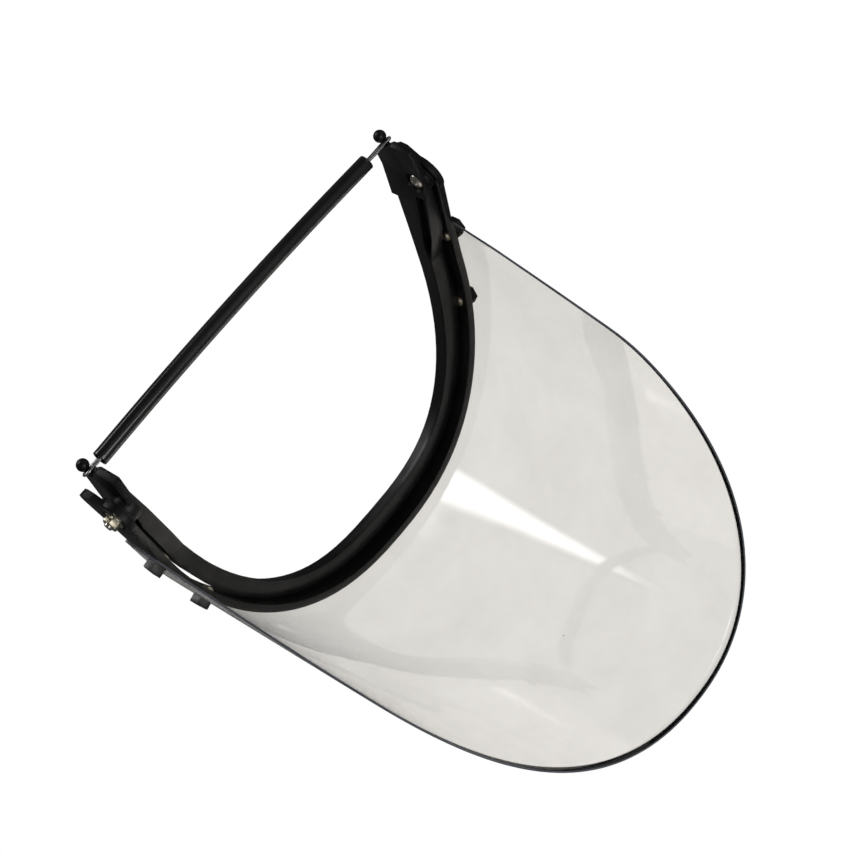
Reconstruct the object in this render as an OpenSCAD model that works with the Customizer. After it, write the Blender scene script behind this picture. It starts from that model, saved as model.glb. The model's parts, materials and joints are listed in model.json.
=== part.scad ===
// Hard-hat face shield: a moulded U-shaped frame that a rear spring holds round the brim,
// an outer carrier that swings up on two side pivots, and a clear visor bolted to the carrier.
// +Z is up as worn, -Y is the way the wearer looks, +X is the wearer's left.
// The origin is the middle of the pivot axis, between the two side arms.

/* [Frame] */
// Distance from the pivot axis to the inside of the frame's front
frame_reach = 142; // [130:1:155]
// Half of the inside width of the frame at the pivots
frame_half = 96; // [92:1:98]
// Section depth of the frame at its front, inside face to outside face
frame_front_depth = 8.5; // [6:0.5:9]
// Section depth of the frame's arms at the pivots
frame_arm_depth = 7.5; // [6:0.5:7.5]
// Height of the underside of the front arch above the pivot axis
arch_z = 7.2; // [5:0.2:9]
// Height of the top of the arm pads above the pivot axis
pad_top = 20; // [17:0.5:24]
// Thickness of the arch's bottom flange
flange_t = 2.6; // [2:0.2:4]
// Set-back of the upright wall from the flange's inner edge
wall_setback = 2.6; // [1.4:0.2:3]

/* [Carrier] */
// Distance from the pivot axis to the outside of the carrier's front
carrier_reach = 158; // [156:1:162]
// Half of the outside width of the carrier at the pivots
carrier_half = 109; // [108:0.5:111]
// Thickness of the carrier band
carrier_t = 3.8; // [3:0.2:4.4]
// Height of the band's lower edge above the pivot axis, at the front
carrier_bottom = 1.8; // [0:0.2:4]
// Height of the band's upper edge above the pivot axis, at the front
carrier_top = 18; // [15:0.5:22]
// Radius of the round end at each pivot
carrier_eye_r = 10; // [9:0.5:11]

/* [Visor] */
// Thickness of the clear sheet
visor_t = 1; // [0.8:0.1:1.5]
// Height of the sheet at its middle
visor_h = 203; // [180:1:250]
// Height of the sheet's upper edge above the pivot axis
visor_top = 17.4; // [16:0.2:18]
// Flat width of the sheet along its upper edge
visor_w = 366; // [350:1:372]
// How far each rear edge leans forward for each mm it goes down
visor_taper = 0.29; // [0.2:0.01:0.3]
// Radius of the curved lower edge, measured on the flat sheet
visor_low_r = 172; // [165:1:190]
// Radius of the lower corners, measured on the flat sheet
visor_corner_r = 73; // [50:1:90]

/* [Hardware] */
// Radius of the pivot screw's shank
pivot_r = 2; // [1.5:0.5:2.5]
// Radial clearance between the pivot screw and the carrier's hole
running_gap = 0.05; // [0.02:0.01:0.1]
// Radius of the visor bolts' shanks
bolt_r = 2; // [1.5:0.5:2]
// Width across the flats of the visor bolts' heads
bolt_af = 8.4; // [7:0.2:10]
// Thickness of the visor bolts' heads
bolt_head_t = 3.9; // [3:0.1:5]

/* [Spring] */
// Radius of the spring's wire where it hooks on the frame
wire_r = 0.75; // [0.6:0.05:0.75]
// Outer radius of the coil
coil_r = 2.6; // [2.2:0.1:2.6]
// Inner radius of the sleeve over the spring
sleeve_ri = 3; // [3:0.05:3.1]
// Outer radius of the sleeve
sleeve_ro = 3.7; // [3.5:0.1:4.2]

/* [Hidden] */
LEFT = 1;
RIGHT = -1;
fine = 64;

// A bow is the plan outline of a U-shaped band: two arms that splay apart towards the rear,
// closed at the front by an elliptical nose. It is
// [reach, half width at the pivots, splay per mm, length of the nose, power of the nose].
frame_inner = [frame_reach, frame_half, 0.149, 108, 2.8];
frame_outer = [frame_reach + frame_front_depth, frame_half + frame_arm_depth, 0.139, 100, 2.5];
carrier_outer = [carrier_reach, carrier_half, 0.127, 114, 2.4];
carrier_inner = grow(carrier_outer, -carrier_t);
arm_rear = 26;
nose_steps = 22;

// The same bow moved outwards all round by d.
function grow(bow, d) = [bow[0] + d, bow[1] + d, bow[2], bow[3] + d, bow[4]];
// Half width of a bow at a distance t behind its front.
function arm_half(bow, t) = bow[1] + bow[2] * (t - bow[0]);
function bow_half(bow, t) =
    arm_half(bow, t) * pow(1 - pow(1 - min(max(t, 0) / bow[3], 1), bow[4]), 1 / bow[4]);
// Point of a bow's nose at angle a, which runs from 0 at the front to 90 at the arm.
function nose_t(bow, a) = bow[3] * (1 - pow(cos(a), 2 / bow[4]));
function nose_point(bow, a) =
    let (t = nose_t(bow, a)) [arm_half(bow, t) * pow(sin(a), 2 / bow[4]), t - bow[0]];
// One side of a bow, from the front to the arm's end.
function bow_side(bow) = concat(
    [for (i = [0 : nose_steps]) nose_point(bow, 90 * i / nose_steps)],
    [[arm_half(bow, bow[0] + arm_rear), arm_rear]]);
function mirrored(path) = [for (i = [len(path) - 1 : -1 : 1]) [-path[i][0], path[i][1]]];
function bow_path(bow) = concat(mirrored(bow_side(bow)), bow_side(bow));
function reversed(path) = [for (i = [len(path) - 1 : -1 : 0]) path[i]];

// Side view of the frame as [y, z]: tall pads at the pivots, falling to the slim front arch.
hook_lean = 35;
hook_foot = [17, 12.7];
hook_face = 8.4;
hook_dir = [cos(hook_lean), sin(hook_lean)];
hook_up = [-sin(hook_lean), cos(hook_lean)];
pad_front = -14;
pad_bottom = -6.2;
frame_profile = [[21.8, pad_bottom], hook_foot - hook_face * hook_up, hook_foot + hook_face * hook_up,
    [pad_front, pad_top], [-52, 19.8], [-105, 17], [-160, 14.4],
    [-160, arch_z], [-52, arch_z], [-34, 1], [-6, -5]];
// Shallow recess in the arm's inside face, ahead of the pad and above the rib.
recess_profile = [[pad_front + 1, 6], [pad_front + 1, pad_top + 2], [-170, pad_top + 2],
    [-170, arch_z + flange_t], [-46, arch_z + flange_t + 1]];
// Plan of the recess: its rear end ramps up to the pad's face at 45 degrees.
recess_bow = grow(frame_inner, wall_setback);
ramp_foot = pad_front - wall_setback;
recess_side = concat([for (i = [0 : nose_steps]) nose_point(recess_bow, 90 * i / nose_steps)],
    [[arm_half(recess_bow, recess_bow[0] + ramp_foot), ramp_foot],
     [arm_half(frame_inner, frame_inner[0] + pad_front) - 0.2, pad_front + 0.2]]);
// Deeper channel below the rib, with a slanted front end.
channel_profile = [[-9, 3], [-9, -3], [-36, 1.8], [-51, 8], [-44, 9]];
channel_depth = 4;

// Pivot hardware, as distances from the middle of the frame along X.
head_seat = 98.6;
head_r = 4;
head_t = 2.5;
recess_r = 5.2;
boss_r = 7;
function pad_inside(side) = side == LEFT ? 97.6 : 96.6;
function arm_face(side) = side == LEFT ? 101.6 : 100;
thrust_gap = 0.05;
screw_end = 1;
nut_af = 7;
seat_r = 6.2;
// The left pivot stands on a tall boss under a full nut. The right arm of the carrier lies close
// to the frame and is held by a thin nut. Each nut sits in a pocket of the carrier.
function boss_face(side) = side == LEFT ? 103.4 : 100.8;
function eye_in(side) = side == LEFT ? 105.05 : 101.6;
function eye_face(side) = side == LEFT ? 108.7 : 104.7;
function eye_out(side) = side == LEFT ? 107.2 : 103.2;
function spring_washer_t(side) = side == LEFT ? 0.9 : 0.4;
function flange_washer_t(side) = side == LEFT ? 1 : 0.4;
function nut_t(side) = side == LEFT ? 3.2 : 1.4;
function washers_out(side) = eye_out(side) + thrust_gap + spring_washer_t(side);
function nut_seat(side) = washers_out(side) + flange_washer_t(side);
function screw_tip(side) = nut_seat(side) + nut_t(side) + (side == LEFT ? screw_end : 0.15);

// Visor bolts as [distance ahead of the pivots, height].
bolt_rear = [44, 4.4];
bolt_front = [85, 7.4];
insert_r = 2.7;
insert_proud = 0.5;

// Spring and hooks.
neck_r = 1.4;
neck_len = 2.5;
hook_head_r = 3;
function hook_x(side) = side == LEFT ? 101 : 99.8;
loop_r = neck_r + 0.5 + wire_r;
leg_foot = 1.5;
coil_bore_r = 1.6;
coil_end_left = 88;
coil_end_right = -86;
sleeve_end_left = 94;
sleeve_end_right = -87;

// Draws its children at x = side * from, with their own Z pointing away from the middle.
module along_x(side, from) {
    translate([side * from, 0, 0]) rotate([0, side * 90, 0]) children();
}

// A disc, tube or screw part on the pivot axis, from one distance to another.
module pivot_disc(side, from, to, r) {
    along_x(side, from) cylinder(h = to - from, r = r, $fn = fine);
}

// Band between two bows.
module band(outer, inner, z0, z1) {
    translate([0, 0, z0]) linear_extrude(z1 - z0)
        polygon(concat(bow_path(outer), reversed(bow_path(inner))));
}

// A side-view outline given as [y, z], taken right through the part along X.
module side_cut(profile) {
    width = 260;
    translate([-width / 2, 0, 0]) rotate([90, 0, 90]) linear_extrude(width) polygon(profile);
}

// Slab that spans the whole part across, from one y to another.
module y_slab(y0, y1) {
    translate([-130, y0, -30]) cube([260, y1 - y0, 80]);
}

// Post with a ball end, standing on the rear corner of a pad.
module hook_post(side) {
    translate([side * hook_x(side), hook_foot[0], hook_foot[1]]) rotate([hook_lean - 90, 0, 0])
        union() {
            translate([0, 0, -1.5]) cylinder(h = neck_len + 2.5, r = neck_r, $fn = fine);
            translate([0, 0, neck_len + 2.3]) intersection() {
                sphere(r = hook_head_r, $fn = fine);
                translate([-5, -5, -2.3]) cube([10, 10, 10]);
            }
        }
}

module frame_arms() {
    arm_front = -58;
    across = arm_face(LEFT) + arm_face(RIGHT);
    intersection() {
        union() {
            band(frame_outer, frame_inner, -20, 30);
            for (side = [LEFT, RIGHT]) translate([side * (pad_inside(side) + 10) - 10, -3, -30])
                cube([20, arm_rear + 3, 80]);
        }
        side_cut(frame_profile);
        y_slab(arm_front, arm_rear);
        translate([-arm_face(RIGHT), -100, -30]) cube([across, 200, 80]);
    }
}

module frame_arch() {
    intersection() {
        side_cut(frame_profile);
        y_slab(-170, -50);
        union() {
            band(frame_outer, frame_inner, arch_z, arch_z + flange_t);
            band(frame_outer, grow(frame_inner, wall_setback), arch_z, 30);
        }
    }
}

// Moulded frame: arch with a lip along its inner lower edge, two padded arms, the hook posts.
module brim_frame() {
    color("#1b1b1d") {
        difference() {
            union() {
                frame_arms();
                frame_arch();
                for (side = [LEFT, RIGHT]) pivot_disc(side, head_seat, boss_face(side), boss_r);
            }
            intersection() {
                translate([0, 0, -20]) linear_extrude(50)
                    polygon(concat(mirrored(recess_side), recess_side));
                side_cut(recess_profile);
            }
            intersection() {
                band(grow(frame_inner, channel_depth), grow(frame_inner, -8), -20, 30);
                side_cut(channel_profile);
            }
            for (side = [LEFT, RIGHT]) {
                pivot_disc(side, 80, head_seat, recess_r);
                pivot_disc(side, 90, 120, pivot_r + 0.1);
            }
        }
        for (side = [LEFT, RIGHT]) hook_post(side);
    }
}

// Outer band that carries the visor: a strip on edge with a round eye at each pivot.
carrier_profile = [[-2, -9], [-34, -0.6], [-56, carrier_bottom], [-170, carrier_bottom],
    [-170, carrier_top], [-56, carrier_top - 0.4], [-12, 16.4], [2, 17], [7.5, 16.5],
    [11.4, 14.4], [13.6, 10.6], [13.4, 6.4], [8.5, 0]];
// The right arm is tucked in towards the frame behind the nose, by this much at the pivot.
tuck = 4;
function tucked(side) = let (n = len(side) - 1, run = side[n][1] - side[n - 1][1],
    at = [side[n][0] - tuck * run / -side[n - 1][1], side[n][1]])
    [for (i = [0 : n]) i < n ? side[i] : at];
function carrier_path(bow) = concat(mirrored(tucked(bow_side(bow))), bow_side(bow));

module carrier_hole(side, place, r) {
    on_carrier(side, place) translate([0, 0, -12]) cylinder(h = 24, r = r, $fn = fine);
}

module visor_carrier() {
    color("#19191b") difference() {
        union() {
            intersection() {
                translate([0, 0, -20]) linear_extrude(50) polygon(concat(
                    carrier_path(carrier_outer), reversed(carrier_path(carrier_inner))));
                side_cut(carrier_profile);
            }
            for (side = [LEFT, RIGHT]) pivot_disc(side, eye_in(side), eye_face(side), carrier_eye_r);
        }
        for (side = [LEFT, RIGHT]) {
            pivot_disc(side, 90, 130, pivot_r + running_gap);
            pivot_disc(side, 90, eye_in(side), boss_r + 0.8);
            pivot_disc(side, eye_out(side), 130, seat_r);
            for (place = [bolt_rear, bolt_front]) carrier_hole(side, place, insert_r);
        }
    }
}

// Puts its children on the carrier's outside face at a bolt, with Z pointing outwards.
function carrier_slope(t) =
    (bow_half(carrier_outer, t + 0.1) - bow_half(carrier_outer, t - 0.1)) / 0.2;
module on_carrier(side, place) {
    t = carrier_reach - place[0];
    toe = atan(carrier_slope(t));
    translate([side * bow_half(carrier_outer, t), -place[0], place[1]])
        rotate([0, 0, -side * toe]) rotate([0, side * 90, 0]) children();
}

// Clear visor: a sheet bent round the carrier, straight up and down, cut to a rounded outline.
low_steps = 22;
corner_steps = 14;
edge_steps = 16;
visor_gap = 0.05;
// The lower edge is one big arc, each lower corner a smaller arc that touches it and the straight
// rear edge. Heights are measured from the big arc's centre.
low_centre = visor_top - visor_h + visor_low_r;
taper_len = sqrt(1 + visor_taper * visor_taper);
corner_base = visor_w / 2 - visor_taper * (visor_top - low_centre) - visor_corner_r * taper_len;
corner_drop = (corner_base * visor_taper + sqrt(pow(corner_base * visor_taper, 2)
    - pow(taper_len, 2) * (pow(corner_base, 2) - pow(visor_low_r - visor_corner_r, 2))))
    / pow(taper_len, 2);
corner_s = corner_base - visor_taper * corner_drop;
low_angle = atan2(corner_s, corner_drop);
edge_angle = atan2(1, visor_taper);
function low_point(a) = [visor_low_r * sin(a), low_centre - visor_low_r * cos(a)];
function corner_point(a) =
    [corner_s + visor_corner_r * sin(a), low_centre - corner_drop - visor_corner_r * cos(a)];
function edge_point(z) = [visor_w / 2 - visor_taper * (visor_top - z), z];
edge_foot = corner_point(edge_angle)[1];
// Flat outline of one side as [arc length, height], from the bottom up to the sheet's top corner.
sheet_side = concat(
    [for (i = [0 : low_steps]) low_point(low_angle * i / low_steps)],
    [for (i = [1 : corner_steps])
        corner_point(low_angle + (edge_angle - low_angle) * i / corner_steps)],
    [for (i = [1 : edge_steps])
        edge_point(edge_foot + (visor_top - 0.5 - edge_foot) * i / edge_steps)]);
// Arc length round the carrier, measured from its front, and its inverse.
arc_steps = 90;
arc_points = [for (i = [0 : arc_steps]) nose_point(carrier_outer, 90 * i / arc_steps)];
arc_len = [for (i = 0, s = 0; i <= arc_steps; s = s + (i < arc_steps
    ? norm(arc_points[i + 1] - arc_points[i]) : 0), i = i + 1) s];
nose_end = arc_points[arc_steps];
function arm_dir(k) = let (d = [carrier_outer[2] - (k < 0 ? tuck / -nose_end[1] : 0), 1]) d / norm(d);
function at_arc(s, k) = s >= arc_len[arc_steps]
    ? nose_end + (s - arc_len[arc_steps]) * arm_dir(k)
    : [lookup(s, [for (i = [0 : arc_steps]) [arc_len[i], arc_points[i][0]]]),
       lookup(s, [for (i = [0 : arc_steps]) [arc_len[i], arc_points[i][1]]])];
function arc_normal(s, k) = let (d = at_arc(s + 0.5, k) - at_arc(max(s - 0.5, 0), k), n = norm(d))
    s == 0 ? [0, -1] : [d[1], -d[0]] / n;
// One column of the sheet on side k: inner low, inner high, outer high, outer low.
function sheet_column(k, edge) =
    let (p = at_arc(edge[0], k), n = arc_normal(edge[0], k),
         a = p + visor_gap * n, b = p + (visor_gap + visor_t) * n)
    [[k * a[0], a[1], edge[1]], [k * a[0], a[1], visor_top],
     [k * b[0], b[1], visor_top], [k * b[0], b[1], edge[1]]];

module visor_sheet() {
    half = len(sheet_side) - 1;
    columns = 2 * half + 1;
    points = [for (i = [-half : half]) each sheet_column(i < 0 ? -1 : 1, sheet_side[abs(i)])];
    sides = [for (i = [0 : columns - 2], j = [0 : 3])
        [4 * i + j, 4 * i + (j + 1) % 4, 4 * i + 4 + (j + 1) % 4, 4 * i + 4 + j]];
    last = 4 * (columns - 1);
    polyhedron(points, concat(sides, [[3, 2, 1, 0], [last, last + 1, last + 2, last + 3]]));
}

module visor() {
    color([0.86, 0.85, 0.82, 0.45]) difference() {
        visor_sheet();
        for (side = [LEFT, RIGHT], place = [bolt_rear, bolt_front])
            carrier_hole(side, place, bolt_r + 0.1);
    }
}

// Pivot screw: pan head inside the pad, shank through frame and carrier.
module pivot_screw(side) {
    color("#c9c4b8") {
        difference() {
            union() {
                along_x(side, head_seat - head_t) rotate_extrude($fn = fine)
                    polygon([[0, 0], [head_r - 1.3, 0], [head_r - 0.3, 0.9], [head_r, 1.6],
                        [head_r, head_t], [0, head_t]]);
                pivot_disc(side, head_seat - 0.5, screw_tip(side), pivot_r);
            }
            for (turn = [0, 90]) along_x(side, head_seat - head_t - 1) rotate([0, 0, turn])
                translate([-2.1, -0.45, 0]) cube([4.2, 0.9, 2.2]);
        }
    }
}

module washer(side, from, t, r_in, r_out) {
    difference() {
        pivot_disc(side, from, from + t, r_out);
        pivot_disc(side, from - 1, from + t + 1, r_in);
    }
}

module friction_washer(side) {
    color("#2c2c2e")
        washer(side, boss_face(side), eye_in(side) - boss_face(side) - thrust_gap, pivot_r + 0.1, boss_r);
}

module spring_washer(side) {
    color("#b9b6ae")
        washer(side, eye_out(side) + thrust_gap, spring_washer_t(side), pivot_r + 0.1, 3.8);
}

module flange_washer(side) {
    color("#cfc7a8")
        washer(side, washers_out(side), flange_washer_t(side), pivot_r + 0.1, 5);
}

module pivot_nut(side) {
    color("#d6cfb4") difference() {
        along_x(side, nut_seat(side)) cylinder(h = nut_t(side), r = nut_af / sqrt(3), $fn = 6);
        pivot_disc(side, nut_seat(side) - 1, nut_seat(side) + nut_t(side) + 1, pivot_r);
    }
}

// Visor bolt: hexagon head outside the sheet, shank into the insert.
module visor_bolt(side, place) {
    seat = visor_gap + visor_t;
    color("#161617") on_carrier(side, place) {
        translate([0, 0, seat + 0.02]) cylinder(h = bolt_head_t, r = bolt_af / sqrt(3), $fn = 6);
        translate([0, 0, -carrier_t - 0.9]) cylinder(h = carrier_t + seat + 2, r = bolt_r, $fn = fine);
    }
}

// Threaded insert pressed into the carrier from inside.
module visor_insert(side, place) {
    color("#c8b98a") on_carrier(side, place) difference() {
        translate([0, 0, -carrier_t - insert_proud])
            cylinder(h = carrier_t + insert_proud - 0.35, r = insert_r, $fn = fine);
        translate([0, 0, -carrier_t - 3]) cylinder(h = carrier_t + 6, r = bolt_r, $fn = fine);
    }
}

// Spring axis: through the middle of both hook necks, along X.
module spring_frame() {
    mid = hook_foot + neck_len / 2 * hook_dir;
    translate([0, mid[0], mid[1]]) rotate([hook_lean, 0, 0]) children();
}

module spring_coil() {
    length = coil_end_left - coil_end_right;
    color("#8f9092") spring_frame() translate([coil_end_right, 0, 0]) rotate([0, 90, 0])
        difference() {
            cylinder(h = length, r = coil_r, $fn = fine);
            translate([0, 0, -1]) cylinder(h = length + 2, r = coil_bore_r, $fn = fine);
        }
}

// Wire loop round a hook's neck: a little over half a ring, and two legs that close up and run
// a short way into the coil's end. It is swept as rings of points along the bent wire.
wire_sides = 20;
loop_steps = 26;
module spring_loop(side, coil_end) {
    run = hook_x(side) - coil_end + 0.6;
    close = asin(loop_r / norm([run, leg_foot])) - atan(leg_foot / run);
    leg = (run - loop_r * sin(close)) / cos(close);
    turn = 90 + close;
    angles = [for (i = [0 : loop_steps]) turn * (2 * i / loop_steps - 1)];
    // Each station is [middle of the wire, outward direction in the loop's plane].
    foot = loop_r * [cos(turn), sin(turn)] + leg * [-sin(turn), cos(turn)];
    stations = concat([[[foot[0], -foot[1]], [cos(turn), -sin(turn)]]],
        [for (a = angles) [loop_r * [cos(a), sin(a)], [cos(a), sin(a)]]],
        [[foot, [cos(turn), sin(turn)]]]);
    points = [for (at = stations, j = [0 : wire_sides - 1])
        let (b = 360 * j / wire_sides, p = at[0] + wire_r * cos(b) * at[1])
        [p[0], p[1], wire_r * sin(b)]];
    n = wire_sides;
    last = n * (len(stations) - 1);
    walls = [for (i = [0 : len(stations) - 2], j = [0 : n - 1])
        [n * i + j, n * i + n + j, n * i + n + (j + 1) % n, n * i + (j + 1) % n]];
    color("#d9dadc") spring_frame() translate([side * hook_x(side), 0, 0])
        rotate([0, 0, side == LEFT ? 0 : 180]) rotate([90, 0, 0])
            polyhedron(points, concat(walls, [[for (j = [0 : n - 1]) j],
                [for (j = [n - 1 : -1 : 0]) last + j]]));
}

module spring_sleeve() {
    color("#0e0e0f") spring_frame() translate([sleeve_end_right, 0, 0]) rotate([0, 90, 0])
        difference() {
            cylinder(h = sleeve_end_left - sleeve_end_right, r = sleeve_ro, $fn = fine);
            translate([0, 0, -1])
                cylinder(h = sleeve_end_left - sleeve_end_right + 2, r = sleeve_ri, $fn = fine);
        }
}

brim_frame();
visor_carrier();
visor();
pivot_screw(LEFT);  // pivot_screw_left
pivot_screw(RIGHT);  // pivot_screw_right
friction_washer(LEFT);  // friction_washer_left
friction_washer(RIGHT);  // friction_washer_right
spring_washer(LEFT);  // spring_washer_left
spring_washer(RIGHT);  // spring_washer_right
flange_washer(LEFT);  // flange_washer_left
flange_washer(RIGHT);  // flange_washer_right
pivot_nut(LEFT);  // pivot_nut_left
pivot_nut(RIGHT);  // pivot_nut_right
visor_bolt(LEFT, bolt_rear);  // visor_bolt_left_rear
visor_bolt(LEFT, bolt_front);  // visor_bolt_left_front
visor_bolt(RIGHT, bolt_rear);  // visor_bolt_right_rear
visor_bolt(RIGHT, bolt_front);  // visor_bolt_right_front
visor_insert(LEFT, bolt_rear);  // visor_insert_left_rear
visor_insert(LEFT, bolt_front);  // visor_insert_left_front
visor_insert(RIGHT, bolt_rear);  // visor_insert_right_rear
visor_insert(RIGHT, bolt_front);  // visor_insert_right_front
spring_coil();
spring_loop(LEFT, coil_end_left);  // spring_loop_left
spring_loop(RIGHT, -coil_end_right);  // spring_loop_right
spring_sleeve();
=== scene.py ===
import json
import math

import bmesh
import bpy
from mathutils import Matrix, Vector

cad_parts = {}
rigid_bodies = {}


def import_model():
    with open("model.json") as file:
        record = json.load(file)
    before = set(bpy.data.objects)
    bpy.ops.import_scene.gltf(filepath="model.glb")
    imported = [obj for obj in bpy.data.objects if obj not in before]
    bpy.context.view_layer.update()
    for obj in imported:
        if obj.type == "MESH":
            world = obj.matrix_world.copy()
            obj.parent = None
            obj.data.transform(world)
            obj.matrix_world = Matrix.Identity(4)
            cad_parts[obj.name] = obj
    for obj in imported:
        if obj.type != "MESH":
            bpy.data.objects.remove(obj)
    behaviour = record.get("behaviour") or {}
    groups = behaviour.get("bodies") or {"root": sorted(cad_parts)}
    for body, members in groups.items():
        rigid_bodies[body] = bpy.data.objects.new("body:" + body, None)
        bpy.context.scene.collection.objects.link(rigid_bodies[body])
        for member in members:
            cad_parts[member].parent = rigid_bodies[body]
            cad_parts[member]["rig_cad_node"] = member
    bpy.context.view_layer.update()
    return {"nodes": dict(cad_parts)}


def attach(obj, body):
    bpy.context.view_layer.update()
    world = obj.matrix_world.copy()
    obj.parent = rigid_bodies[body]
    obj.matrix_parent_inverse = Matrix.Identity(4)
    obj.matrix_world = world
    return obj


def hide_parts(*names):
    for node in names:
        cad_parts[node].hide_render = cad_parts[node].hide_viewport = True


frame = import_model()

MM = 0.001
scene = bpy.context.scene
scene.view_settings.view_transform = "Standard"


# ---------------------------------------------------------------- materials
class Nodes:
    """Short names for building one material's nodes."""

    def __init__(self, name):
        self.mat = bpy.data.materials.new(name)
        self.mat.use_nodes = True
        self.tree = self.mat.node_tree
        self.bsdf = self.tree.nodes["Principled BSDF"]
        self.coord = self.add("ShaderNodeTexCoord").outputs["Object"]

    def add(self, kind, **values):
        node = self.tree.nodes.new(kind)
        for key, value in values.items():
            if key in node.inputs:
                node.inputs[key].default_value = value
            else:
                setattr(node, key, value)
        return node

    def link(self, a, b):
        self.tree.links.new(a, b)

    def stretched(self, scale):
        """Object coordinates scaled unequally along X, Y and Z."""
        node = self.add("ShaderNodeMapping")
        node.inputs["Scale"].default_value = scale
        self.link(self.coord, node.inputs["Vector"])
        return node.outputs["Vector"]

    def noise(self, scale, detail=4.0, rough=0.55, coord=None):
        node = self.add("ShaderNodeTexNoise")
        node.inputs["Scale"].default_value = scale
        node.inputs["Detail"].default_value = detail
        node.inputs["Roughness"].default_value = rough
        self.link(coord or self.coord, node.inputs["Vector"])
        return node.outputs["Fac"]

    def ramp(self, fac, stops):
        node = self.add("ShaderNodeValToRGB")
        ramp = node.color_ramp
        while len(ramp.elements) < len(stops):
            ramp.elements.new(0.5)
        for element, (place, colour) in zip(ramp.elements, stops):
            element.position = place
            element.color = (*colour, 1.0)
        self.link(fac, node.inputs["Fac"])
        return node.outputs["Color"]

    def span(self, fac, low, high, out_low, out_high):
        node = self.add("ShaderNodeMapRange")
        for key, value in (("From Min", low), ("From Max", high),
                           ("To Min", out_low), ("To Max", out_high)):
            node.inputs[key].default_value = value
        self.link(fac, node.inputs["Value"])
        return node.outputs["Result"]

    def math(self, operation, a, b):
        node = self.add("ShaderNodeMath", operation=operation)
        for socket, value in zip(node.inputs, (a, b)):
            if isinstance(value, (int, float)):
                socket.default_value = value
            else:
                self.link(value, socket)
        return node.outputs["Value"]

    def mix(self, fac, a, b):
        node = self.add("ShaderNodeMix", data_type="RGBA")
        self.link(fac, node.inputs[0])
        for socket, value in ((node.inputs[6], a), (node.inputs[7], b)):
            if isinstance(value, tuple):
                socket.default_value = (*value, 1.0)
            else:
                self.link(value, socket)
        return node.outputs[2]

    def bump(self, layers):
        """Bumps on each other, each (height socket, strength, distance in metres)."""
        normal = None
        for height, strength, distance in layers:
            node = self.add("ShaderNodeBump")
            node.inputs["Strength"].default_value = strength
            node.inputs["Distance"].default_value = distance
            self.link(height, node.inputs["Height"])
            if normal is not None:
                self.link(normal, node.inputs["Normal"])
            normal = node.outputs["Normal"]
        self.link(normal, self.bsdf.inputs["Normal"])

    def set(self, **values):
        for key, value in values.items():
            socket = self.bsdf.inputs[key.replace("_", " ")]
            if isinstance(value, bpy.types.NodeSocket):
                self.link(value, socket)
            elif isinstance(value, tuple):
                socket.default_value = (*value, 1.0)
            else:
                socket.default_value = value
        return self.mat


def moulded_plastic(name, dark, light, rough, grain=0.35):
    """Black moulded plastic: fine spark grain, faint flow marks and a few rubbed patches."""
    n = Nodes(name)
    cloud = n.noise(55.0, 5.0)
    grains = n.noise(1900.0, 2.0)
    flow = n.noise(9.0, 3.0, coord=n.stretched((3.0, 3.0, 14.0)))
    rubbed = n.noise(160.0, 6.0, 0.7, coord=n.stretched((1.0, 1.0, 2.5)))
    base = n.ramp(cloud, [(0.3, dark), (0.7, light)])
    scuff = n.span(rubbed, 0.62, 0.75, 0.0, 1.0)
    colour = n.mix(scuff, base, tuple(c * 1.9 for c in light))
    roughness = n.math("ADD", n.span(flow, 0.3, 0.7, rough - 0.05, rough + 0.06),
                       n.span(grains, 0.3, 0.7, -0.03, 0.05))
    n.bump([(flow, 0.12, 0.0004), (grains, grain, 0.00003), (rubbed, 0.08, 0.00006)])
    return n.set(Base_Color=colour, Roughness=roughness, Specular_IOR_Level=0.42, IOR=1.5)


def bolt_finish(name, tip):
    """Black bolt head on a zinc shank; the shank's end, nearer the middle than tip, is bare."""
    n = Nodes(name)
    split = n.add("ShaderNodeSeparateXYZ")
    n.link(n.coord, split.inputs[0])
    across = n.math("ABSOLUTE", split.outputs["X"], 0.0)
    bare = n.span(across, tip, tip + 0.0002, 1.0, 0.0)
    cloud = n.noise(300.0, 5.0)
    thread = n.noise(1500.0, 2.0)
    black = n.ramp(cloud, [(0.3, (0.0036, 0.0036, 0.0038)), (0.7, (0.0085, 0.0085, 0.009))])
    zinc = n.ramp(cloud, [(0.3, (0.42, 0.38, 0.30)), (0.65, (0.78, 0.74, 0.64))])
    n.bump([(thread, 0.25, 0.00004)])
    return n.set(Base_Color=n.mix(bare, black, zinc), Metallic=bare,
                 Roughness=n.span(cloud, 0.3, 0.7, 0.28, 0.38))


def plated_metal(name, bright, dull, rough=0.26, streak=(1.0, 1.0, 1.0)):
    """Plated steel with brushed streaks, cloudy tarnish and tiny pits."""
    n = Nodes(name)
    cloud = n.noise(420.0, 5.0, 0.6)
    lines = n.noise(2600.0, 2.0, coord=n.stretched(streak))
    pits = n.noise(3400.0, 1.0)
    colour = n.ramp(cloud, [(0.32, dull), (0.62, bright)])
    roughness = n.math("ADD", n.span(cloud, 0.3, 0.7, rough + 0.1, rough - 0.05),
                       n.span(lines, 0.3, 0.7, -0.05, 0.07))
    n.bump([(lines, 0.2, 0.00002), (pits, 0.15, 0.00002)])
    return n.set(Base_Color=colour, Roughness=roughness, Metallic=1.0)


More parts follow.
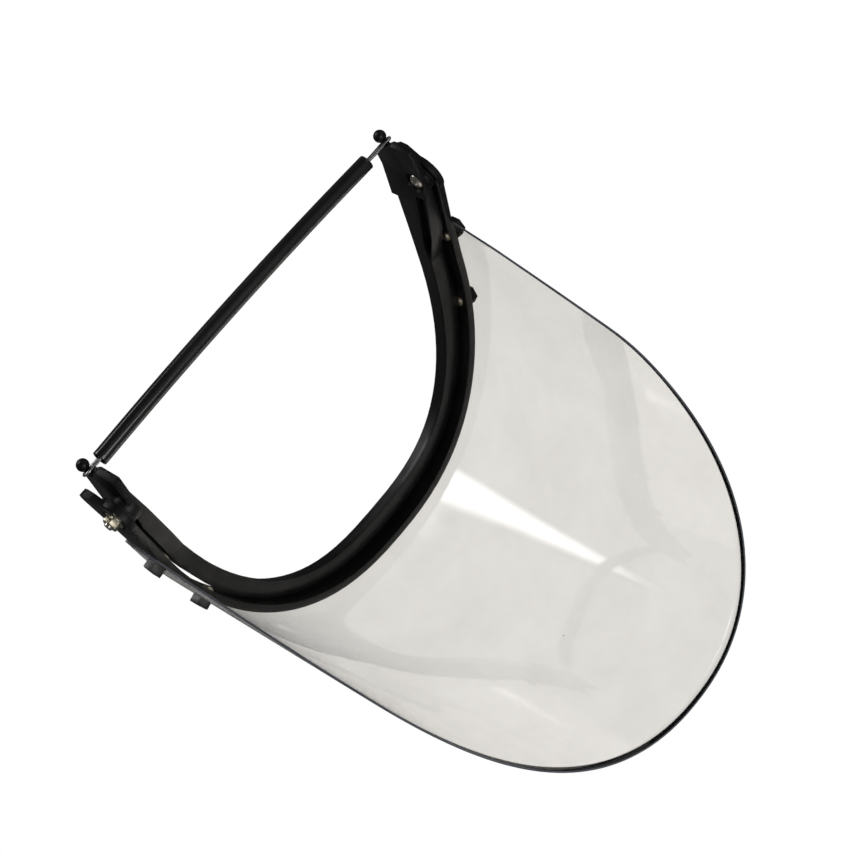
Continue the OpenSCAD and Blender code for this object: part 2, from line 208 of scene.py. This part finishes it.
def pvc_tube(name):
    """Glossy black tube: drawn lines along it, slight orange peel and dusty smears."""
    n = Nodes(name)
    drawn = n.noise(700.0, 2.0, coord=n.stretched((0.02, 1.0, 1.0)))
    peel = n.noise(260.0, 3.0)
    smear = n.noise(70.0, 5.0, 0.65, coord=n.stretched((0.35, 1.0, 1.0)))
    colour = n.ramp(smear, [(0.35, (0.0035, 0.0035, 0.004)), (0.75, (0.009, 0.009, 0.010))])
    roughness = n.span(smear, 0.35, 0.75, 0.16, 0.32)
    n.bump([(peel, 0.10, 0.0002), (drawn, 0.10, 0.00004)])
    return n.set(Base_Color=colour, Roughness=roughness, Coat_Weight=1.0, Coat_Roughness=0.06)


def clear_sheet(name):
    """Polycarbonate sheet with a warm grey cast, faint ripple, haze and a few specks."""
    n = Nodes(name)
    ripple = n.noise(14.0, 2.0, 0.4, coord=n.stretched((1.0, 1.0, 0.45)))
    haze = n.noise(38.0, 5.0, 0.6)
    fine = n.noise(900.0, 2.0, coord=n.stretched((1.0, 1.0, 0.08)))
    dots = n.add("ShaderNodeTexVoronoi", feature="F1")
    dots.inputs["Scale"].default_value = 62.0
    n.link(n.coord, dots.inputs["Vector"])
    chosen = n.noise(31.0, 0.0)
    near = n.span(dots.outputs["Distance"], 0.022, 0.034, 1.0, 0.0)
    speck = n.math("MULTIPLY", near, n.span(chosen, 0.60, 0.62, 0.0, 1.0))
    tint = n.ramp(haze, [(0.3, (0.745, 0.725, 0.690)), (0.7, (0.800, 0.780, 0.745))])
    colour = n.mix(speck, tint, (0.22, 0.21, 0.19))
    roughness = n.math("ADD", n.span(haze, 0.35, 0.75, 0.02, 0.05),
                       n.math("MULTIPLY", speck, 0.4))
    n.bump([(ripple, 0.16, 0.0016), (fine, 0.03, 0.00002)])
    return n.set(Base_Color=colour, Roughness=roughness, Transmission_Weight=1.0, IOR=1.58)


def cut_edge(name):
    """The sheet's sawn edge, which gathers light and looks dark blue-grey; its opaque dark
    blue-grey is partly the sheet's own tint seen edge-on and partly painted shade for the
    darkening that refraction gives a clear edge.
    """
    n = Nodes(name)
    saw = n.noise(1500.0, 3.0, coord=n.stretched((1.0, 1.0, 0.3)))
    cloud = n.noise(120.0, 4.0)
    # Painted shade: this opaque dark blue-grey stands in for the darkening that refraction gives
    # the clear edge, partly the sheet's own tint seen edge-on.
    colour = n.ramp(cloud, [(0.3, (0.130, 0.138, 0.170)), (0.7, (0.220, 0.230, 0.270))])
    n.bump([(saw, 0.3, 0.00004)])
    return n.set(Base_Color=colour, Roughness=n.span(saw, 0.3, 0.7, 0.25, 0.45), IOR=1.58)


FRAME_BLACK = moulded_plastic("frame_black", (0.0030, 0.0030, 0.0033),
                              (0.0060, 0.0060, 0.0065), 0.38)
CARRIER_BLACK = moulded_plastic("carrier_black", (0.0022, 0.0022, 0.0024),
                                (0.0048, 0.0048, 0.0052), 0.42)
BOLTS = {"rear": bolt_finish("bolt_rear_finish", 0.1003),
         "front": bolt_finish("bolt_front_finish", 0.0918)}
FIBRE = moulded_plastic("fibre_washer", (0.012, 0.012, 0.012), (0.024, 0.023, 0.022), 0.55, 0.5)
SCREW_ZINC = plated_metal("screw_zinc", (0.78, 0.75, 0.68), (0.46, 0.43, 0.37), 0.24)
NUT_ZINC = plated_metal("nut_zinc", (0.80, 0.76, 0.62), (0.52, 0.46, 0.32), 0.28)
WASHER_ZINC = plated_metal("washer_zinc", (0.74, 0.72, 0.66), (0.50, 0.47, 0.40), 0.30)
INSERT_ZINC = plated_metal("insert_zinc", (0.62, 0.56, 0.42), (0.34, 0.30, 0.22), 0.30)
WIRE_STEEL = plated_metal("wire_steel", (0.86, 0.86, 0.87), (0.60, 0.60, 0.61), 0.18,
                          (0.05, 1.0, 1.0))
COIL_STEEL = plated_metal("coil_steel", (0.55, 0.55, 0.56), (0.30, 0.30, 0.31), 0.28)
TUBE_BLACK = pvc_tube("tube_black")
CLEAR = clear_sheet("visor_clear_sheet")
EDGE = cut_edge("visor_cut_edge")


# ---------------------------------------------------------------- mesh helpers
def piece(name, verts, faces, mats, body, replaces, indices=None):
    """A mesh object made from point and face lists, riding on a CAD body."""
    mesh = bpy.data.meshes.new(name)
    mesh.from_pydata([tuple(v) for v in verts], [], faces)
    mesh.validate()
    for mat in mats:
        mesh.materials.append(mat)
    for i, polygon in enumerate(mesh.polygons):
        polygon.use_smooth = True
        if indices:
            polygon.material_index = indices[i]
    obj = bpy.data.objects.new(name, mesh)
    scene.collection.objects.link(obj)
    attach(obj, body)
    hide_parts(*replaces)


def repaint(node, mat):
    obj = frame["nodes"][node]
    obj.data.materials.clear()
    obj.data.materials.append(mat)


SHARP_ANGLE = math.radians(28.0)
WELD_DISTANCE = 1e-6


def soften(node, width, segments=2):
    """Small rounded edges on a CAD node, kept on a modifier."""
    obj = frame["nodes"][node]
    weld = obj.modifiers.new("weld", "WELD")
    weld.merge_threshold = WELD_DISTANCE
    bevel = obj.modifiers.new("edges", "BEVEL")
    bevel.width = width
    bevel.segments = segments
    bevel.limit_method = "ANGLE"
    bevel.angle_limit = SHARP_ANGLE
    bevel.use_clamp_overlap = True
    bevel.harden_normals = True
    for polygon in obj.data.polygons:
        polygon.use_smooth = True


def sweep(path, radius, sides):
    """Vertices and faces of a tube along a list of points, with a steady frame."""
    verts, faces = [], []
    normal = None
    count = len(path)
    for i, point in enumerate(path):
        ahead = path[min(i + 1, count - 1)] - path[max(i - 1, 0)]
        tangent = ahead.normalized()
        if normal is None:
            normal = tangent.orthogonal().normalized()
        normal = (normal - tangent * normal.dot(tangent)).normalized()
        side = tangent.cross(normal)
        for j in range(sides):
            a = 2 * math.pi * j / sides
            verts.append(point + radius * (math.cos(a) * normal + math.sin(a) * side))
    for i in range(count - 1):
        for j in range(sides):
            k = (j + 1) % sides
            faces.append((i * sides + j, i * sides + k, (i + 1) * sides + k, (i + 1) * sides + j))
    faces.append(tuple(range(sides - 1, -1, -1)))
    faces.append(tuple(range((count - 1) * sides, count * sides)))
    return verts, faces


# ---------------------------------------------------------------- CAD parts that stay
for node, mat, width in (("brim_frame", FRAME_BLACK, 0.45),
                         ("visor_carrier", CARRIER_BLACK, 0.5)):
    repaint(node, mat)
    soften(node, width * MM, 3)
for side in ("left", "right"):
    for kind, mat, width in (("pivot_screw", SCREW_ZINC, 0.12),
                             ("friction_washer", FIBRE, 0.15),
                             ("spring_washer", WASHER_ZINC, 0.12),
                             ("flange_washer", WASHER_ZINC, 0.15),
                             ("pivot_nut", NUT_ZINC, 0.3)):
        repaint(f"{kind}_{side}", mat)
        soften(f"{kind}_{side}", width * MM)
    for place in ("rear", "front"):
        repaint(f"visor_bolt_{side}_{place}", BOLTS[place])
        soften(f"visor_bolt_{side}_{place}", 0.45 * MM, 3)
        repaint(f"visor_insert_{side}_{place}", INSERT_ZINC)
        soften(f"visor_insert_{side}_{place}", 0.12 * MM)

# ---------------------------------------------------------------- visor sheet
# The carrier's outside as seen from above: reach, half width, splay, nose length, nose power.
REACH, HALF, SPLAY, NOSE, POWER = 158.0, 109.0, 0.127, 114.0, 2.4
SHEET_T, SHEET_GAP = 1.0, 0.05
SHEET_W, SHEET_H, SHEET_TOP = 366.0, 203.0, 17.4
TAPER, LOW_R, CORNER_R = 0.29, 172.0, 73.0
TUCK = 4.0
TOP_CORNER_CUT, RIM = 1.2, 0.22


def nose_point(a):
    t = NOSE * (1 - max(math.cos(a), 0.0) ** (2 / POWER))
    return Vector(((HALF + SPLAY * (t - REACH)) * math.sin(a) ** (2 / POWER), t - REACH))


def bow_table(steps=720):
    points = [nose_point(math.pi / 2 * i / steps) for i in range(steps + 1)]
    lengths = [0.0]
    for a, b in zip(points, points[1:]):
        lengths.append(lengths[-1] + (b - a).length)
    return points, lengths


BOW, BOW_LEN = bow_table()
ARMS = {1: Vector((SPLAY, 1.0)).normalized(),
        -1: Vector((SPLAY + TUCK / BOW[-1].y, 1.0)).normalized()}


def bow_at(s, k):
    """Point of the carrier's outside at arc length s from its front, on side k."""
    if s >= BOW_LEN[-1]:
        return BOW[-1] + (s - BOW_LEN[-1]) * ARMS[k]
    low, high = 0, len(BOW_LEN) - 1
    while high - low > 1:
        mid = (low + high) // 2
        low, high = (mid, high) if BOW_LEN[mid] <= s else (low, mid)
    f = (s - BOW_LEN[low]) / (BOW_LEN[high] - BOW_LEN[low])
    return BOW[low].lerp(BOW[high], f)


def bow_normal(s, k):
    d = (bow_at(s + 0.8, k) - bow_at(max(s - 0.8, 0.0), k)).normalized()
    return Vector((0.0, -1.0)) if s < 0.01 else Vector((d.y, -d.x))


def sheet_outline(low_steps=46, corner_steps=34, edge_steps=26):
    """Flat outline of one side as (arc length, height), from the bottom to the top corner."""
    centre = SHEET_TOP - SHEET_H + LOW_R
    q = math.sqrt(1 + TAPER * TAPER)
    base = SHEET_W / 2 - TAPER * (SHEET_TOP - centre) - CORNER_R * q
    drop = (base * TAPER + math.sqrt((base * TAPER) ** 2
            - q * q * (base * base - (LOW_R - CORNER_R) ** 2))) / (q * q)
    corner = base - TAPER * drop
    a1, a2 = math.atan2(corner, drop), math.atan2(1.0, TAPER)
    out = []
    for i in range(low_steps + 1):
        a = a1 * i / low_steps
        out.append((LOW_R * math.sin(a), centre - LOW_R * math.cos(a)))
    for i in range(1, corner_steps + 1):
        a = a1 + (a2 - a1) * i / corner_steps
        out.append((corner + CORNER_R * math.sin(a), centre - drop - CORNER_R * math.cos(a)))
    foot = out[-1][1]
    for i in range(1, edge_steps + 1):
        z = foot + (SHEET_TOP - TOP_CORNER_CUT - foot) * i / edge_steps
        out.append((SHEET_W / 2 - TAPER * (SHEET_TOP - z), z))
    return out


def visor_mesh(rows=26):
    """Sheet of even thickness bent round the carrier, with softly rounded edges all round."""
    side = sheet_outline()
    columns = [(-s, z) for s, z in side[:0:-1]] + side
    verts, faces, index = [], [], []
    layers = []
    for out, shrink in ((0.0, RIM), (RIM, 0.0), (SHEET_T - RIM, 0.0), (SHEET_T, RIM)):
        layer = []
        for s, low in columns:
            k = -1 if s < 0 else 1
            p, n = bow_at(abs(s), k), bow_normal(abs(s), k)
            column = []
            for r in range(rows + 1):
                f = r / rows
                f = f * f * (3 - 2 * f) * 0.35 + f * 0.65
                z = low + (SHEET_TOP - low) * f
                if r == 0:
                    z += shrink
                if r == rows:
                    z -= shrink
                q = p + n * (SHEET_GAP + out)
                column.append(len(verts))
                verts.append(Vector((k * q.x, q.y, z)) * MM)
            layer.append(column)
        layers.append(layer)
    inner, outer = layers[0], layers[3]
    last = len(columns) - 1
    for layer, flip in ((inner, True), (outer, False)):
        for c in range(last):
            for r in range(rows):
                quad = (layer[c][r], layer[c + 1][r], layer[c + 1][r + 1], layer[c][r + 1])
                faces.append(quad[::-1] if flip else quad)
                index.append(0)
    ring = [(c, 0) for c in range(last + 1)] + [(last, r) for r in range(1, rows + 1)] \
        + [(c, rows) for c in range(last - 1, -1, -1)] + [(0, r) for r in range(rows - 1, 0, -1)]
    for a, b in zip(layers, layers[1:]):
        for (c0, r0), (c1, r1) in zip(ring, ring[1:] + ring[:1]):
            faces.append((a[c0][r0], a[c1][r1], b[c1][r1], b[c0][r0]))
            index.append(1)
    used = sorted({v for f in faces for v in f})
    renumber = {v: i for i, v in enumerate(used)}
    return [verts[v] for v in used], [tuple(renumber[v] for v in f) for f in faces], index


sheet_verts, sheet_faces, sheet_index = visor_mesh()
piece("visor_sheet", sheet_verts, sheet_faces, [CLEAR, EDGE], "carrier",
      ["visor"], sheet_index)

# ---------------------------------------------------------------- spring, loops and sleeve
LEAN = math.radians(35.0)
FOOT_Y, FOOT_Z, HALF_NECK = 17.0, 12.7, 1.25
NECK = Vector((0.0, FOOT_Y + HALF_NECK * math.cos(LEAN), FOOT_Z + HALF_NECK * math.sin(LEAN)))
BACK = Vector((0.0, math.cos(LEAN), math.sin(LEAN)))
UP = Vector((0.0, -math.sin(LEAN), math.cos(LEAN)))
ACROSS = Vector((1.0, 0.0, 0.0))
HOOK_X, LOOP_R, WIRE_R = {1: 101.0, -1: 99.8}, 2.65, 0.75
LEG_STEPS, LOOP_STEPS, WIRE_SIDES = 14, 36, 18
LEG_FOOT, LEG_IN_COIL = 1.5, 0.6
COIL_MEAN, COIL_WIRE, COIL_GAP = 2.08, 0.5, 0.03
TURN_STEPS, COIL_SIDES = 14, 6
COIL_ENDS = (-86.0, 88.0)
SLEEVE_ENDS = (-87.0, 94.0)
SAG, SAG_HALF_SPAN, SAG_DOWN = 1.9, 92.0, 0.35


def spring_point(x, up=0.0, back=0.0):
    """Point near the spring's axis, given in mm: the spring bows a little off the straight."""
    f = 1 - (x / SAG_HALF_SPAN) ** 2
    bow = SAG * max(f, 0.0)
    return (NECK + ACROSS * x + UP * (up - SAG_DOWN * bow) + BACK * (back + bow)) * MM


def coil_mesh():
    pitch = 2 * COIL_WIRE + COIL_GAP
    a, b = COIL_ENDS
    turns = (b - a) / pitch
    steps = int(turns * TURN_STEPS)
    path = []
    for i in range(steps + 1):
        x = a + (b - a) * i / steps
        t = 2 * math.pi * turns * i / steps
        path.append(spring_point(x, COIL_MEAN * math.cos(t), COIL_MEAN * math.sin(t)))
    return sweep(path, COIL_WIRE * MM, COIL_SIDES)


coil_verts, coil_faces = coil_mesh()
piece("spring_coil_wire", coil_verts, coil_faces, [COIL_STEEL], "spring",
      ["spring_coil"])


def loop_path(side, end):
    """Wire from the coil, round the hook's neck and back to the coil."""
    run = HOOK_X[side] - abs(end) + LEG_IN_COIL
    close = math.asin(LOOP_R / math.hypot(run, LEG_FOOT)) - math.atan(LEG_FOOT / run)
    turn = math.pi / 2 + close
    leg = (run - LOOP_R * math.sin(close)) / math.cos(close)
    flat = []
    start = Vector((LOOP_R * math.cos(turn), LOOP_R * math.sin(turn)))
    along = Vector((-math.sin(turn), math.cos(turn)))
    for i in range(LEG_STEPS, 0, -1):
        p = start + along * leg * i / LEG_STEPS
        flat.append(Vector((p.x, -p.y)))
    for i in range(LOOP_STEPS + 1):
        a = -turn + 2 * turn * i / LOOP_STEPS
        flat.append(Vector((LOOP_R * math.cos(a), LOOP_R * math.sin(a))))
    for i in range(1, LEG_STEPS + 1):
        flat.append(start + along * leg * i / LEG_STEPS)
    return [spring_point(side * (HOOK_X[side] + p.x), p.y) for p in flat]


for side, name, end in ((1, "left", COIL_ENDS[1]), (-1, "right", COIL_ENDS[0])):
    verts, faces = sweep(loop_path(side, end), WIRE_R * MM, WIRE_SIDES)
    piece(f"spring_hook_{name}", verts, faces, [WIRE_STEEL], "spring",
          [f"spring_loop_{name}"])


def sleeve_mesh(sides=40, steps=90):
    """Tube with an inner wall and rounded lips, following the spring's slight bow."""
    inner, outer, lip = 3.0, 3.7, 0.25
    a, b = SLEEVE_ENDS
    rings = []
    for i in range(steps + 1):
        rings.append((a + lip + (b - a - 2 * lip) * i / steps, outer))
    rings += [(b - 0.07, outer - 0.07), (b, outer - lip), (b, inner + lip), (b - lip, inner)]
    for i in range(steps, -1, -1):
        rings.append((a + lip + (b - a - 2 * lip) * i / steps, inner))
    rings += [(a, inner + lip), (a, outer - lip), (a + 0.07, outer - 0.07)]
    verts, faces = [], []
    for x, r in rings:
        for j in range(sides):
            t = 2 * math.pi * j / sides
            verts.append(spring_point(x, r * math.cos(t), r * math.sin(t)))
    count = len(rings)
    for i in range(count):
        n = (i + 1) % count
        for j in range(sides):
            k = (j + 1) % sides
            faces.append((i * sides + j, i * sides + k, n * sides + k, n * sides + j))
    return verts, faces


verts, faces = sleeve_mesh()
piece("spring_tube", verts, faces, [TUBE_BLACK], "sleeve", ["spring_sleeve"])

for obj in list(scene.objects):
    if obj.type == "MESH" and obj.get("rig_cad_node") is None:
        bm = bmesh.new()
        bm.from_mesh(obj.data)
        bmesh.ops.recalc_face_normals(bm, faces=bm.faces)
        bm.to_mesh(obj.data)
        bm.free()

# ---------------------------------------------------------------- camera, floor, light
camera = bpy.data.objects.new("camera", bpy.data.cameras.new("camera"))
scene.collection.objects.link(camera)
camera.data.sensor_width = 36.0
camera.data.lens = 120.08
right = Vector((-0.625406, -0.340976, -0.701856))
up = Vector((-0.726513, 0.582616, 0.364331))
ahead = Vector((-0.284684, -0.737763, 0.612096))
turn = Matrix((right, up, -ahead)).transposed().to_4x4()
camera.matrix_world = Matrix.Translation((0.34247, 0.87465, -0.82312)) @ turn
camera.data.clip_start, camera.data.clip_end = 0.05, 50.0
scene.camera = camera

floor_mesh = bpy.data.meshes.new("floor")
FLOOR_HALF, FLOOR_Z = 6, -1.3
corners = [(x * FLOOR_HALF, y * FLOOR_HALF, FLOOR_Z)
           for x, y in ((-1, -1), (1, -1), (1, 1), (-1, 1))]
floor_mesh.from_pydata(corners, [], [(0, 1, 2, 3)])
floor = bpy.data.objects.new("floor", floor_mesh)
scene.collection.objects.link(floor)
pale = Nodes("floor_pale")
floor_mesh.materials.append(pale.set(
    Base_Color=pale.ramp(pale.noise(1.3, 3.0), [(0.3, (0.80, 0.80, 0.79)),
                                                (0.7, (0.84, 0.84, 0.83))]),
    Roughness=0.75))
# The floor glows only where it is seen directly or through the sheet, so it stays pale.
rays = pale.add("ShaderNodeLightPath")
direct = pale.math("MAXIMUM", rays.outputs["Is Camera Ray"], rays.outputs["Is Transmission Ray"])
pale.set(Emission_Color=(0.80, 0.80, 0.79),
         Emission_Strength=pale.math("MULTIPLY", direct, 0.8))

# The background is white where it is seen directly or through the sheet, and dim as a light.
world = bpy.data.worlds.new("studio")
scene.world = world
world.use_nodes = True
tree = world.node_tree
tree.nodes.clear()
paths = tree.nodes.new("ShaderNodeLightPath")
seen = tree.nodes.new("ShaderNodeMath")
seen.operation = "MAXIMUM"
tree.links.new(paths.outputs["Is Camera Ray"], seen.inputs[0])
tree.links.new(paths.outputs["Is Transmission Ray"], seen.inputs[1])
strength = tree.nodes.new("ShaderNodeMapRange")
strength.inputs["To Min"].default_value = 0.07
strength.inputs["To Max"].default_value = 1.0
tree.links.new(seen.outputs[0], strength.inputs["Value"])
sky = tree.nodes.new("ShaderNodeBackground")
sky.inputs["Color"].default_value = (1.0, 1.0, 1.0, 1.0)
tree.links.new(strength.outputs["Result"], sky.inputs["Strength"])
out = tree.nodes.new("ShaderNodeOutputWorld")
tree.links.new(sky.outputs["Background"], out.inputs["Surface"])


def softbox(name, place, aim, size, power):
    data = bpy.data.lights.new(name, "AREA")
    data.shape = "RECTANGLE"
    data.size, data.size_y = size
    data.energy = power
    lamp = bpy.data.objects.new(name, data)
    scene.collection.objects.link(lamp)
    lamp.location = place
    lamp.rotation_euler = (Vector(aim) - Vector(place)).to_track_quat("-Z", "Y").to_euler()


def glow_card(name, place, aim, outline, strength, soft):
    """A glowing card with a given outline that fades towards its rim."""
    mesh = bpy.data.meshes.new(name)
    centre = Vector((sum(p[0] for p in outline), sum(p[1] for p in outline))) / len(outline)
    steps = 10
    verts, faces = [(centre.x, centre.y, 0.0)], []
    count = len(outline)
    for s in range(1, steps + 1):
        verts += [(*centre.lerp(Vector(p), s / steps), 0.0) for p in outline]
    for j in range(count):
        k = (j + 1) % count
        faces.append((0, 1 + j, 1 + k))
        for s in range(steps - 1):
            a, b = 1 + s * count, 1 + (s + 1) * count
            faces.append((a + j, b + j, b + k, a + k))
    mesh.from_pydata(verts, [], faces)
    glow = mesh.attributes.new("glow", "FLOAT", "POINT")
    for i, item in enumerate(glow.data):
        s = 0 if i == 0 else 1 + (i - 1) // count
        f = min(1.0, (1 - s / steps) / soft)
        item.value = f * f * (3 - 2 * f)
    mat = bpy.data.materials.new(name)
    mat.use_nodes = True
    nodes, links = mat.node_tree.nodes, mat.node_tree.links
    nodes.clear()
    level = nodes.new("ShaderNodeAttribute")
    level.attribute_name = "glow"
    power = nodes.new("ShaderNodeMath")
    power.operation = "MULTIPLY"
    power.inputs[1].default_value = strength
    links.new(level.outputs["Fac"], power.inputs[0])
    shine = nodes.new("ShaderNodeEmission")
    links.new(power.outputs[0], shine.inputs["Strength"])
    end = nodes.new("ShaderNodeOutputMaterial")
    links.new(shine.outputs[0], end.inputs["Surface"])
    mesh.materials.append(mat)
    card = bpy.data.objects.new(name, mesh)
    scene.collection.objects.link(card)
    card.location = place
    card.rotation_euler = (Vector(aim) - Vector(place)).to_track_quat("-Z", "Y").to_euler()


AIM = (0, -0.05, -0.05)
KEY_CARD = [(-0.59, 0.44), (0.1, 0.47), (0.86, 0.46), (1.5, 0.42), (1.8, 0.32), (1.5, 0.16),
            (1.05, -0.02), (0.72, -0.28), (0.5, -0.47), (0.38, -0.47), (0.08, -0.18),
            (-0.3, 0.12), (-0.56, 0.36)]
glow_card("key_card", (0.9, 1.3, 1.5), AIM, KEY_CARD, 5.5, 0.35)
softbox("fill", (-1.4, 0.9, -0.5), AIM, (1.2, 1.2), 1.2)
softbox("under", (0.15, 0.35, -1.2), (0, -0.05, 0.0), (0.7, 0.7), 3.0)
